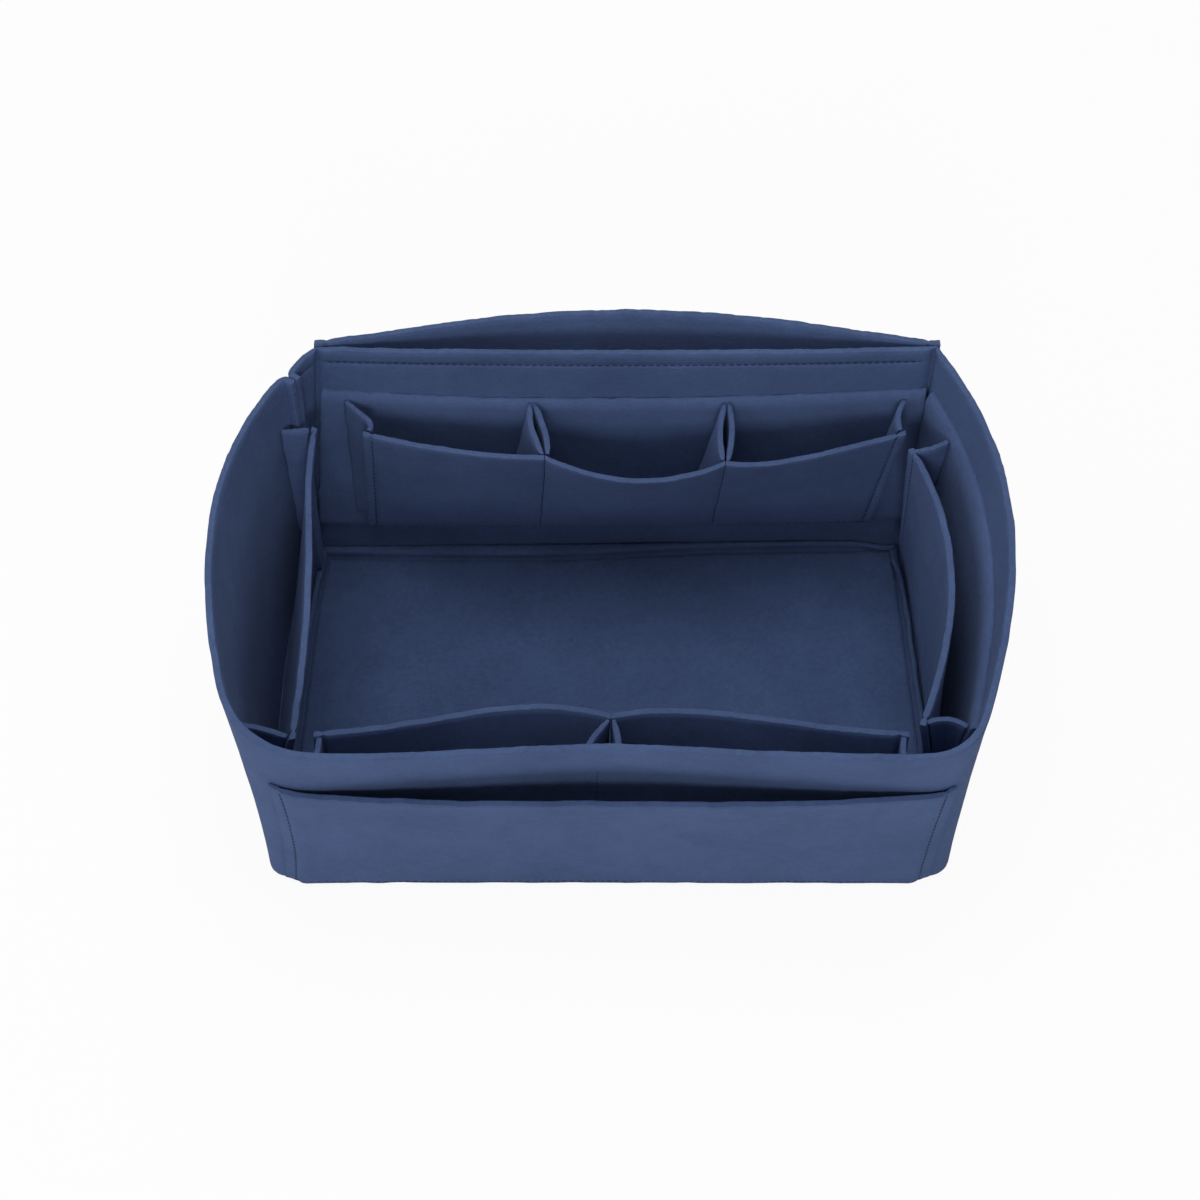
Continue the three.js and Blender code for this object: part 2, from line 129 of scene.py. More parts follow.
backLeft = tubCorner(tub["backLength"], -1, 1, tub["backLeftShift"], tub["backLean"])
backRight = tubCorner(
    tub["backLength"], 1, 1, tub["backRightShift"], tub["backLean"], tub["backRightReach"],
)
frontLeft = tubCorner(tub["frontLength"], -1, -1, tub["frontLeftShift"], tub["frontLean"])
frontRight = tubCorner(tub["frontLength"], 1, -1, tub["frontRightShift"], tub["frontLean"])


def dentOfFront(f, z):
    span = np.where(z < frontDent["peak"], frontDent["below"], frontDent["above"])
    close = np.clip(1 - np.abs(z - frontDent["peak"]) / span, 0, 1)
    return frontDent["depth"] * swell(f) ** frontDent["fullness"] * ease(close)


# the walls are walked anticlockwise from above, inside on the left; bow is at the rim
walls = {
    "left": {
        "a": backLeft, "b": frontLeft,
        "bow": lambda f: tub["leftSwell"] * swell(f, tub["leftPeak"]) ** tub["leftFullness"],
    },
    "front": {
        "a": frontLeft, "b": frontRight,
        "bow": lambda f: -tub["frontDip"] * np.abs(np.sin(np.pi * f)) ** tub["frontDipSharpness"],
        "dent": dentOfFront,
    },
    "right": {
        "a": frontRight, "b": backRight,
        "bow": lambda f: tub["rightSwell"] * swell(f, tub["rightPeak"]),
    },
    "back": {
        "a": backRight, "b": backLeft,
        "bow": lambda f: -tub["backDip"] * swell(f),
    },
}

# the front wall without its dent, which the slip pocket in front of it follows
smoothFront = {key: walls["front"][key] for key in ("a", "b", "bow")}


def dentAt(wall, f, z):
    return wall["dent"](np.clip(f, 0, 1), z) if "dent" in wall else 0.0


def wallLength(wall, z):
    return np.linalg.norm(wall["b"](z) - wall["a"](z), axis=-1)


def wallFace(wall, f, z):
    f, z = np.broadcast_arrays(np.asarray(f, float), np.asarray(z, float))
    start = wall["a"](z)
    chord = wall["b"](z) - start
    stand = wall["bow"](np.clip(f, 0, 1)) * z / tub["height"] - dentAt(wall, f, z)
    return start + chord * f[..., None] - unit(leftOf(chord)) * stand[..., None]


def wallInward(wall, f, z):
    probe = 1e-3
    ahead = wallFace(wall, np.clip(f + probe, probe, 1), z)
    return leftOf(unit(ahead - wallFace(wall, np.clip(f - probe, 0, 1 - probe), z)))


def wallInset(wall, f, z, depth):
    f, z, depth = np.broadcast_arrays(*(np.asarray(v, float) for v in (f, z, depth)))
    return wallFace(wall, f, z) + wallInward(wall, f, z) * depth[..., None]


def inWall(wall, along, depth, z):  # a place in millimetres along a wall, as a point in space
    along, depth, z = np.broadcast_arrays(*(np.asarray(v, float) for v in (along, depth, z)))
    plan = wallInset(wall, along / wallLength(wall, z), z, depth)
    return np.concatenate([plan, z[..., None]], -1)


def bezier(a, b, c, t):
    t = np.asarray(t)[:, None]
    return (1 - t) ** 2 * a + 2 * t * (1 - t) * b + t ** 2 * c


def leftCut(z):
    return lerp(tub["leftCutBase"], tub["leftCutRim"], z / tub["height"])


def rightCut(z):
    return lerp(tub["rightCutBase"], tub["rightCutRim"], z / tub["height"])


def wallRun(wall, startCut, endCut, z, inset=0.0):
    length = wallLength(wall, z)
    count = int(wallLength(wall, 0) / felt["step"])
    f = np.linspace(startCut / length, 1 - endCut / length, count)
    return wallInset(wall, f, np.full(count, float(z)), inset)


def turn(before, after, cut, z, count, inset=0.0, first=0.0, last=1.0):  # a rounded corner between walls
    fa, fc = 1 - cut / wallLength(before, z), cut / wallLength(after, z)
    na, nc = wallInward(before, fa, z), wallInward(after, fc, z)
    ends = wallInset(before, fa, z, inset), wallInset(after, fc, z, inset)
    run = -leftOf(na)
    corner = ends[0] + run * ((ends[1] - ends[0]) @ nc) / (run @ nc)   # where the walls' directions meet
    return bezier(ends[0], corner, ends[1], np.linspace(first, last, count))


def ringPath(z, backCut, inset=0.0):  # from the closing seam all the way round
    left, front, right, back = walls.values()
    seam = tub["seamInset"]
    crease = max(backCut, inset + tub["crease"])
    stub = np.linspace(crease, seam, tub["stubSteps"]) / wallLength(left, z)
    cutL, cutR = (max(cut(z), inset + tub["crease"]) for cut in (leftCut, rightCut))
    runs = [
        wallRun(left, seam, cutL, z, inset),
        turn(left, front, cutL, z, tub["cornerSteps"], inset)[1:],
        wallRun(front, cutL, cutR, z, inset)[1:],
        turn(front, right, cutR, z, tub["cornerSteps"], inset)[1:],
        wallRun(right, cutR, crease, z, inset)[1:],
        turn(right, back, crease, z, tub["creaseSteps"], inset)[1:],
        wallRun(back, crease, crease, z, inset)[1:],
        turn(back, left, crease, z, tub["creaseSteps"], inset)[1:],
        wallInset(left, stub, np.full(len(stub), float(z)), inset)[1:],
    ]
    return np.concatenate(runs)


def offsetPath(path, distance, closed=False):  # to the left of travel
    sharpest = 0.6   # limits the mitre at a corner
    if closed:
        ahead = np.roll(path, -1, 0) - path
        behind = path - np.roll(path, 1, 0)
    else:
        step = np.diff(path, axis=0)
        ahead = np.concatenate([step, step[-1:]])
        behind = np.concatenate([step[:1], step])
    a, b = leftOf(unit(behind)), leftOf(unit(ahead))
    middle = unit(a + b)
    mitre = np.clip((middle * a).sum(-1, keepdims=True), sharpest, 1)
    return path + middle * np.asarray(distance).reshape(-1, 1) / mitre


# Felt meshes

hashPrimes = (73856093, 19349663, 83492791, 668265263, 1274126177)


def lumpNoise(points, wavelength, seed):  # smooth noise from -1 to 1
    toX, toY, toZ, toSeed, toMix = hashPrimes
    q = points / wavelength + 1000.0    # positive everywhere on the part
    cell = np.floor(q).astype(np.int64)
    t = ease(q - cell)
    total = 0
    for corner in range(8):
        d = np.array([corner & 1, corner >> 1 & 1, corner >> 2 & 1])
        c = cell + d
        h = c[..., 0] * toX ^ c[..., 1] * toY ^ c[..., 2] * toZ ^ seed * toSeed
        h = (h ^ h >> 13) * toMix
        value = (h & 0xffff) / 32767.5 - 1    # its last 16 bits
        weight = np.prod(np.where(d == 1, t, 1 - t), -1)
        total = total + value * weight
    return total


def softSteps(length, seams=()):  # 0 to 1, closer at both ends and beside the seams
    lip = felt["edgeRound"]
    count = max(2, int(round((length - 2 * lip) / felt["step"])))
    ends = lip * np.array(felt["edgeLines"])
    steps = np.concatenate([ends, np.linspace(lip, length - lip, count + 1), length - ends[::-1]])
    for seam in seams:
        apart = np.abs(steps - seam) > felt["seamClear"]
        atCut = steps < lip * 1.01    # these lines stay
        steps = np.sort(np.concatenate([steps[apart | atCut], seam + np.array(felt["seamLines"])]))
    return steps / length


def pathLength(path):  # length walked up to each point
    return np.concatenate([[0], np.cumsum(np.linalg.norm(np.diff(path, axis=0), axis=1))])


def atLength(s, run, path):
    return np.stack([np.interp(s, run, path[:, k]) for k in range(path.shape[1])], -1)


def gridLength(grid, axis):
    step = np.linalg.norm(np.diff(grid, axis=axis), axis=-1)
    pad = [(0, 0), (0, 0)]
    pad[axis] = (1, 0)
    return np.pad(np.cumsum(step, axis=axis), pad)


def newObject(name, points, faces, material):
    mesh = bpy.data.meshes.new(name)
    mesh.from_pydata((points * mm).tolist(), [], faces)
    mesh.polygons.foreach_set("use_smooth", [True] * len(mesh.polygons))
    mesh.materials.append(material)
    mesh.validate()
    mesh.update()
    piece = bpy.data.objects.new(name, mesh)
    bpy.context.scene.collection.objects.link(piece)
    return piece


def roughen(mid, direction, shift):  # what keeps pressed felt from looking moulded
    lump = felt["lump"] * lumpNoise(mid, *feltNoise["lump"])
    lump = lump + felt["lump"] * felt["smallLump"] * lumpNoise(mid, *feltNoise["smallLump"])
    grain = felt["grain"] * lumpNoise(mid + shift, *feltNoise["grain"])
    return direction * (lump + grain)[..., None]


def groove(distance, at, depth, width):  # share of the thickness left beside a seam
    return 1 - depth * np.exp(-((distance - at) / width) ** 2)


def sheetMesh(name, front, back):
    columns, rows = front.shape[:2]
    index = np.arange(columns * rows).reshape(columns, rows)
    other = index + columns * rows
    quads = lambda a, b, c, d: np.stack([a, b, c, d], -1).reshape(-1, 4)
    cells = lambda g: (g[:-1, :-1], g[1:, :-1], g[1:, 1:], g[:-1, 1:])
    a, b, c, d = cells(index)
    e, f, g, h = cells(other)
    faces = [quads(a, b, c, d), quads(e, h, g, f)]

    # a closed strip all round the cut, with two loops between the sheet's faces
    cut = np.concatenate([index[:-1, 0], index[-1, :-1], index[:0:-1, -1], index[0, :0:-1]])
    points = np.concatenate([front.reshape(-1, 3), back.reshape(-1, 3)])
    cutFront, cutBack = points[cut], points[cut + columns * rows]
    shares = (felt["edgeTurn"], 1 - felt["edgeTurn"])
    between = [len(points) + k * len(cut) + np.arange(len(cut)) for k in range(len(shares))]
    loops = [cut] + between + [cut + columns * rows]
    points = np.concatenate([points] + [lerp(cutFront, cutBack, t) for t in shares])
    for one, two in zip(loops, loops[1:]):
        faces.append(quads(one, two, np.roll(two, -1), np.roll(one, -1)))

    faces = np.concatenate(faces)
    corner = points[faces]
    volume = (corner[:, 0] * np.cross(corner[:, 1], corner[:, 2])).sum()
    volume += (corner[:, 0] * np.cross(corner[:, 2], corner[:, 3])).sum()
    if volume < 0:    # inside out
        faces = faces[:, ::-1]
    return newObject(name, points, faces.tolist(), blueFelt)


# a sheet between two matching grids of points; thin gives the share of its thickness left, from the
# distances to the first end, the last end, the foot and the top, and from the points halfway
def feltSheet(name, faceOne, faceTwo, thin=None):
    mid = (faceOne + faceTwo) / 2
    half = (faceOne - faceTwo) / 2
    along, up = gridLength(mid, 0), gridLength(mid, 1)
    fromEdge = np.minimum(np.minimum(along, along[-1:] - along), np.minimum(up, up[:, -1:] - up))
    inside = np.clip(fromEdge / felt["edgeRound"], 0, 1)
    body = np.maximum(np.sqrt(1 - (1 - inside) ** 2), felt["edgeLeft"])
    if thin is not None:
        body = body * thin(along, along[-1:] - along, up, up[:, -1:] - up, mid)
    direction = unit(half)
    half = half * body[..., None]
    ragged = felt["fuzz"] * (1 - inside)[..., None]
    shake = np.stack([lumpNoise(mid, fuzzWave, s) for s in fuzzSeeds], -1) * ragged
    stray = felt["wobble"] * np.exp(-fromEdge / felt["wobbleReach"])[..., None]
    mid = mid + shake + np.stack([lumpNoise(mid, wobbleWave, s) for s in wobbleSeeds], -1) * stray
    front = mid + half + roughen(mid, direction, 0.0)
    back = mid - half + roughen(mid, direction, felt["grainShift"])
    return sheetMesh(name, front, back)


# Finishes

def newMaterial(name):
    material = bpy.data.materials.new(name)
    material.use_nodes = True
    nodes, links = material.node_tree.nodes, material.node_tree.links
    return material, nodes, links, nodes["Principled BSDF"]


def setSockets(node, values):
    for socket, value in values.items():
        node.inputs[socket].default_value = value


def twoTones(nodes, links, look, tone, shader):  # from dark to light
    colour = nodes.new("ShaderNodeMix")
    colour.data_type = "RGBA"
    setSockets(colour, {"A": look["dark"], "B": look["light"]})
    links.new(tone, colour.inputs["Factor"])
    links.new(colour.outputs["Result"], shader.inputs["Base Color"])


def feltFinish():
    look = {
        "dark": (0.046, 0.072, 0.158, 1), "light": (0.081, 0.127, 0.270, 1),
        "roughness": 0.95, "specular": 0.1,
        "sheen": 0.05, "sheenRoughness": 0.5, "sheenTint": (0.45, 0.55, 0.85, 1),
        "fibre": (1500, 4), "mottle": (170, 3), "cloud": (26, 2),   # scale and detail
        "streak": (1.0, 3), "streakStretch": (420, 420, 1900), "noiseRoughness": 0.6,
        "fibreShare": 0.8, "streakShare": 0.9, "mottleShare": 0.5,
        "toneFrom": 1.0, "toneTo": 2.2,   # the tone goes from 0 to 3.2, and is about 1.6 in the middle
        "bump": 0.45, "bumpDepth": 0.00045, "bumpFibre": 1.3,
    }
    material, nodes, links, shader = newMaterial("blueFelt")
    setSockets(shader, {
        "Roughness": look["roughness"], "Specular IOR Level": look["specular"], "Sheen Weight": look["sheen"],
        "Sheen Roughness": look["sheenRoughness"], "Sheen Tint": look["sheenTint"],
    })
    place = nodes.new("ShaderNodeTexCoord")
    stretch = nodes.new("ShaderNodeMapping")
    setSockets(stretch, {"Scale": look["streakStretch"]})
    links.new(place.outputs["Object"], stretch.inputs["Vector"])

    def noise(source, scale, detail):
        node = nodes.new("ShaderNodeTexNoise")
        setSockets(node, {"Scale": scale, "Detail": detail, "Roughness": look["noiseRoughness"]})
        links.new(source, node.inputs["Vector"])
        return node.outputs["Fac"]

    def mix(a, b, share):
        node = nodes.new("ShaderNodeMath")
        node.operation = "MULTIPLY_ADD"
        node.inputs[1].default_value = share
        links.new(a, node.inputs[0])
        links.new(b, node.inputs[2])
        return node.outputs[0]

    fibre = noise(place.outputs["Object"], *look["fibre"])
    streak = noise(stretch.outputs["Vector"], *look["streak"])
    cloud = noise(place.outputs["Object"], *look["cloud"])
    mottle = noise(place.outputs["Object"], *look["mottle"])
    tone = mix(streak, mix(mottle, cloud, look["mottleShare"]), look["streakShare"])
    tone = mix(fibre, tone, look["fibreShare"])
    ramp = nodes.new("ShaderNodeMapRange")
    setSockets(ramp, {"From Min": look["toneFrom"], "From Max": look["toneTo"]})
    links.new(tone, ramp.inputs["Value"])
    twoTones(nodes, links, look, ramp.outputs["Result"], shader)
    bump = nodes.new("ShaderNodeBump")
    setSockets(bump, {"Strength": look["bump"], "Distance": look["bumpDepth"]})
    links.new(mix(fibre, streak, look["bumpFibre"]), bump.inputs["Height"])
    links.new(bump.outputs["Normal"], shader.inputs["Normal"])
    return material


def threadFinish():
    look = {
        "dark": (0.016, 0.025, 0.06, 1), "light": (0.034, 0.052, 0.115, 1),
        "roughness": 0.75, "specular": 0.12, "twist": 900, "stray": 2,
    }
    material, nodes, links, shader = newMaterial("blueThread")
    setSockets(shader, {"Roughness": look["roughness"], "Specular IOR Level": look["specular"]})
    place = nodes.new("ShaderNodeTexCoord")
    twist = nodes.new("ShaderNodeTexWave")
    setSockets(twist, {"Scale": look["twist"], "Distortion": look["stray"]})
    links.new(place.outputs["Object"], twist.inputs["Vector"])
    twoTones(nodes, links, look, twist.outputs["Fac"], shader)
    return material


blueFelt = feltFinish()
blueThread = threadFinish()
print("finishes made")


# Stitches: short thread capsules along a line on the felt

stitch = {
    "length": 2.3, "pitch": 3.1, "width": 0.7, "height": 0.46, "around": 6, "rings": 5,
    "tip": 0.12, "taper": 2.5, "probe": 0.5,
    "sunk": 0.02, "dive": 3,   # a stitch dives into the felt at both ends
}


def stitchRow(name, line, normal, body):
    line = np.asarray(line, float)
    normal = np.broadcast_to(np.asarray(normal, float), line.shape)
    run = pathLength(line)
    centres = np.arange(stitch["pitch"] / 2, run[-1], stitch["pitch"])
    at = lambda s: atLength(s, run, line)
    out = atLength(centres, run, normal)
    along = unit(at(centres + stitch["probe"]) - at(centres - stitch["probe"]))
    out = unit(out - along * (out * along).sum(1, keepdims=True))
    side = np.cross(along, out)
    around, rings = stitch["around"], stitch["rings"]
    angles = np.arange(around) * 2 * math.pi / around
    lengths = np.linspace(-1, 1, rings)
    girth = np.sqrt(np.maximum(stitch["tip"], 1 - np.abs(lengths) ** stitch["taper"]))
    points, faces = [], []
    for centre, a, o, s in zip(at(centres), along, out, side):
        first = len(points)
        for w, g in zip(lengths, girth):
            sunk = stitch["sunk"] * (1 + stitch["dive"] * abs(w))
            spot = centre + a * w * stitch["length"] / 2 - o * sunk
            for angle in angles:
                across = s * math.cos(angle) * stitch["width"] / 2
                across = across + o * math.sin(angle) * stitch["height"] / 2
                points.append(spot + across * g)
        for r in range(rings - 1):
            for k in range(around):
                n = (k + 1) % around
                row, nextRow = first + r * around, first + (r + 1) * around
                faces.append([row + k, row + n, nextRow + n, nextRow + k])
        faces.append([first + k for k in reversed(range(around))])
        faces.append([first + (rings - 1) * around + k for k in range(around)])
    piece = newObject(name, np.array(points), faces, blueThread)
    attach(piece, body)


# Base: a floor with its edge turned up inside the wall

base = {
    "lip": 7.5, "thin": 2.4, "round": 1.2, "lean": 0.5, "leanShape": 1.5,
    "floorRound": 3, "floorInset": 2.5, "floorRings": 34, "floorLump": 0.45, "calmRings": 4,
    "ripple": 0.9, "rippleRun": 900, "shortRipple": 0.6, "rippleOut": 0.5, "rippleUp": 0.7, "settle": 0.3,
    "backMost": -0.2,   # how far the ripple may press towards the wall
    "puckerAt": (127, 82), "puckerReach": 11, "puckerOut": 4.0, "puckerUp": 2.2,   # the back right corner
    "calm": 0.7, "puckerRipple": 1.6,
    "drawn": 3.2, "drawnAt": -30, "drawnLeft": 100, "drawnRight": 55,   # the lip is fuller along the back
    "drawnDrop": 0.9, "drawnFrom": 60, "drawnFade": 15, "wallRows": 4, "turnRows": 3,
}


def drawnIn(ring):
    span = np.where(ring[:, 0] < base["drawnAt"], base["drawnLeft"], base["drawnRight"])
    onBack = np.clip((ring[:, 1] - base["drawnFrom"]) / base["drawnFade"], 0, 1)
    return onBack * np.exp(-((ring[:, 0] - base["drawnAt"]) / span) ** 2)


def baseProfile():  # inset and height, from the underside up over the lip to the floor
    thick, lip = felt["thick"], base["lip"]
    out = thick + felt["gap"]
    inner = out + base["thin"]
    top = lip - 0.8
    return [
        (out + 1.2, 0), (out + 0.35, 0.3), (out, 1.2), (out, 4), (out + 0.1, top), (out + 0.5, lip - 0.2),
        (out + 1.2, lip), (inner - 0.4, lip - 0.2), (inner, top), (inner - 0.1, thick + 1.6),
        (inner - 0.3, thick + 0.2), (inner - 0.25, thick - 1.1), (inner + 0.25, thick - 1.5),
        (inner + 0.8, thick - 0.6), (inner + 1.4, thick), (inner + 3, thick),
    ]


def lipLoop(row, inset, z):
    thick = felt["thick"]
    rise = max(0, z - thick) / (base["lip"] - thick)
    inset = inset + rise ** base["leanShape"] * base["lean"]
    ring = ringPath(z, inset + base["round"], inset)[:-1]
    run = np.linspace(0, 1, len(ring))
    spot = np.stack([run * base["rippleRun"], run * 0, run * 0], -1)
    ripple = lumpNoise(spot, *feltNoise["longRipple"])
    ripple = ripple + base["shortRipple"] * lumpNoise(spot, *feltNoise["shortRipple"])
    fromPucker = np.linalg.norm(ring - np.array(base["puckerAt"]), axis=1)
    pucker = np.exp(-(fromPucker / base["puckerReach"]) ** 2)
    shove = base["ripple"] * (base["rippleOut"] + ripple) * (base["calm"] + base["puckerRipple"] * pucker)
    shove = np.maximum(rise * (shove + base["puckerOut"] * pucker), base["backMost"])
    drawn = drawnIn(ring) * min(1, max(0, row - base["wallRows"]) / base["turnRows"])
    plan = offsetPath(ring, shove + base["drawn"] * drawn, closed=True)
    lift = base["rippleUp"] * ripple - base["settle"] + base["puckerUp"] * pucker * ripple
    return np.column_stack([plan, z + rise * (lift - base["drawnDrop"] * drawn)])


def floorLoops(inset):  # from the lip to the middle
    thick, rings = felt["thick"], base["floorRings"]
    inside = ringPath(thick, inset + base["floorRound"], inset)[:-1]
    inside = offsetPath(inside, base["drawn"] * drawnIn(inside), closed=True)
    edge = np.column_stack([inside, np.full(len(inside), thick)])
    loops = []
    for k in range(rings):
        ring = edge * np.array([1 - k / rings] * 2 + [1])
        lump = base["floorLump"] * lumpNoise(ring, *feltNoise["floor"])
        ring[:, 2] = thick + lump * min(1, k / base["calmRings"])
        loops.append(ring)
    return loops


def basePanel():
    profile = baseProfile()
    loops = [lipLoop(row, *spot) for row, spot in enumerate(profile)]
    loops += floorLoops(profile[-1][0] + base["floorInset"])
    count = len(loops[0])
    points = np.concatenate(loops + [[[0, 0, felt["thick"]], [0, 0, 0]]])
    a = np.arange(count)
    b = (a + 1) % count
    faces = []
    for k in range(len(loops) - 1):
        low, high = k * count, (k + 1) * count
        faces += np.stack([low + a, low + b, high + b, high + a], -1).tolist()
    last = (len(loops) - 1) * count
    centre, under = len(points) - 2, len(points) - 1
    faces += [[last + i, last + j, centre] for i, j in zip(a, b)]
    faces += [[j, i, under] for i, j in zip(a, b)]
    piece = newObject("base_felt", points, faces, blueFelt)
    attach(piece, "tub")
    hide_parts("base_panel")


basePanel()
print("base made")


# Wrap: one strip round all four walls, its ends turned in at the closing seam

rim = {
    "wave": 0.5, "waveShape": 6,
    "seam": 6.2, "groove": 0.42, "grooveWidth": 0.9,
    "backFrom": 85, "backFade": 8, "seamMiddle": -3, "seamReach": 138, "seamFade": 4,   # along the back alone
    "creaseDepth": 0.75, "creaseWidth": 1.3, "creaseFoot": 9, "creaseFade": 5,   # not behind the base's lip
    "flangeSteps": 6, "bendSteps": 8, "bendTakes": (4, 5),   # points of the ring that the bends replace
}


def wrapRun(z):  # the strip's outer and inner lines at one height
    left = walls["left"]
    thick = felt["thick"]
    seam = tub["seamInset"] / wallLength(left, z)
    inwards = wallInward(left, seam, z)
    across = -leftOf(inwards)
    across = across * np.sign((backLeft(z) - frontLeft(z)) @ across)   # towards the back corner
    tip = wallFace(left, seam, z)
    bendDepth = tub["seamTurn"]
    flange = np.linspace(thick + tub["seamFlange"], bendDepth, rim["flangeSteps"] + 1)[:-1]
    bend = np.linspace(0, 1, rim["bendSteps"])
    first = tip - across * halfGap
    last = tip + across * halfGap
    takeFirst, takeLast = rim["bendTakes"]
    outer = ringPath(z, tub["backCut"])[takeFirst:-takeLast]
    inner = ringPath(z, tub["backCut"], thick)[takeFirst:-takeLast]
    run = np.concatenate([
        first + inwards * flange[:, None],
        bezier(first + inwards * bendDepth, first, outer[0], bend),
        outer[1:-1],
        bezier(outer[-1], last, last + inwards * bendDepth, bend),
        last + inwards * flange[::-1, None],
    ])
    ends = rim["flangeSteps"] + rim["bendSteps"]
    inside = offsetPath(run, thick)
    inside[ends:-ends] = inner[1:-1]
    depth = rim["creaseDepth"] * np.clip((z - rim["creaseFoot"]) / rim["creaseFade"], 0, 1)
    for before, after in (("right", "back"), ("back", "left")):
        corner = turn(walls[before], walls[after], thick + tub["crease"], z, 3, thick)[1]
        away = np.linalg.norm(inside - corner, axis=1) / rim["creaseWidth"]
        inside = lerp(inside, run, depth * np.exp(-away ** 2)[:, None])
    return run, inside


def outerWrap():
    height, flangeFoot = tub["height"], tub["flangeFoot"]
    rows = softSteps(height, [height - rim["seam"]])
    count = len(wrapRun(0.0)[0])
    column = np.arange(count)
    fromEnd = np.minimum(column, count - 1 - column)
    onFlange = np.clip(rim["flangeSteps"] - fromEnd, 0, 1)
    foot = flangeFoot * onFlange
    outside, inside = [], []
    for row in rows:
        # flange columns start above the lip, so each row is sampled at two heights and mixed
        low = wrapRun(float(row * height))
        high = wrapRun(float(lerp(flangeFoot, height, row)))
        z = foot + (height - foot) * row
        outer, inner = (lerp(a, b, onFlange[:, None]) for a, b in zip(low, high))
        wave = lumpNoise(np.column_stack([outer, 0 * z]), *feltNoise["rim"])
        z = z + rim["wave"] * wave * row ** rim["waveShape"]
        outside.append(np.column_stack([outer, z]))
        inside.append(np.column_stack([inner, z]))

    def sewn(a, b, u, v, mid):
        onBack = np.clip((mid[..., 1] - rim["backFrom"]) / rim["backFade"], 0, 1)
        fromMiddle = np.abs(mid[..., 0] - rim["seamMiddle"])
        onBack = onBack * np.clip((rim["seamReach"] - fromMiddle) / rim["seamFade"], 0, 1)
        return groove(v, rim["seam"], rim["groove"] * onBack, rim["grooveWidth"])

    piece = feltSheet("wrap_felt", np.stack(inside, 1), np.stack(outside, 1), thin=sewn)
    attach(piece, "tub")
    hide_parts("outer_wrap")


outerWrap()
print("wrap made")


# Slip pockets outside

frontSlip = {
    "foot": 1, "top": 90, "leftLift": 1.2, "liftShape": 3,
    "bareLeft": (0.9, 0.62), "bareRight": (0.9, 0.58), "turnSteps": 12,   # share of a corner left bare
    "bow": 7, "bowShape": 1.5, "gape": 3.5,
    "seam": 5, "groove": 0.45, "grooveWidth": 0.9,
    "pressed": (0.12, 0.55), "pressRun": 8,   # the felt is squeezed flat at its sewn ends
}
backSlip = {
    "foot": 1, "bow": 20, "fullness": 1.3, "tab": 1.5,
    "seam": 5, "groove": 0.45, "grooveWidth": 0.9,
}


def sewnEnds(part):  # a groove along the seam at each end
    def thin(a, b, u, v, mid):
        return groove(np.minimum(a, b), part["seam"], part["groove"], part["grooveWidth"])
    return thin


def slipRun(z):  # the line of the front wall that the slip lies on, and the length along it
    part = frontSlip
    steps = part["turnSteps"]
    up = z / part["top"]
    bareLeft, bareRight = lerp(*part["bareLeft"], up), lerp(*part["bareRight"], up)
    leftTurn = turn(walls["left"], smoothFront, leftCut(z), z, steps, first=bareLeft)
    rightTurn = turn(smoothFront, walls["right"], rightCut(z), z, steps, last=1 - bareRight)
    middle = wallRun(smoothFront, leftCut(z), rightCut(z), z)
    run = np.concatenate([leftTurn[:-1], middle, rightTurn[1:]])
    walk = pathLength(run)
    length = tub["frontLength"]
    place = softSteps(length, [part["seam"], length - part["seam"]]) * walk[-1]
    return place, atLength(place, walk, run)


def slipFace(z, depth):  # depth outwards from the slip's wall side
    part = frontSlip
    walk, run = slipRun(z)
    f = walk / walk[-1]
    up = z / part["top"]
    fromEnd = np.clip(np.minimum(walk, walk[-1] - walk) / part["pressRun"], 0, 1)
    press = lerp(lerp(*part["pressed"], up), 1, ease(fromEnd))
    stand = part["bow"] * swell(f) ** part["bowShape"] * up ** part["gape"]
    lift = part["leftLift"] * (1 - f) ** part["liftShape"] * up
    return np.column_stack([offsetPath(run, -(felt["gap"] + stand + depth) * press), z + lift])


def frontSlipPanel():
    part = frontSlip
    heights = lerp(part["foot"], part["top"], softSteps(part["top"] - part["foot"]))
    piece = feltSheet(
        "front_slip_felt",
        np.stack([slipFace(z, 0) for z in heights], 1),
        np.stack([slipFace(z, felt["thick"]) for z in heights], 1),
        thin=sewnEnds(part),
    )
    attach(piece, "tub")
    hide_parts("front_slip_panel")


def backSlipFace(f, z, depth):
    part = backSlip
    wall = walls["back"]
    tab = part["tab"] / wallLength(wall, z)
    place = lerp(-tab, 1 + tab, f)
    stand = part["bow"] * swell(f) ** part["fullness"] * z / tub["height"]
    height = np.broadcast_to(z, np.shape(place))[..., None]
    return np.concatenate([wallInset(wall, place, z, -felt["gap"] - stand - depth), height], -1)


def backSlipPanel():
    part = backSlip
    length = wallLength(walls["back"], 0)
    f = softSteps(length, [part["seam"], length - part["seam"]])[:, None]
    z = lerp(part["foot"], tub["height"], softSteps(tub["height"]))[None, :]
    wallSide, outSide = backSlipFace(f, z, 0), backSlipFace(f, z, felt["thick"])
    piece = feltSheet("back_slip_felt", wallSide, outSide, thin=sewnEnds(part))
    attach(piece, "tub")
    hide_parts("back_slip_panel")


frontSlipPanel()
backSlipPanel()
print("slip pockets made")


# Inner pockets: backings, panels, pleat leaves and gussets

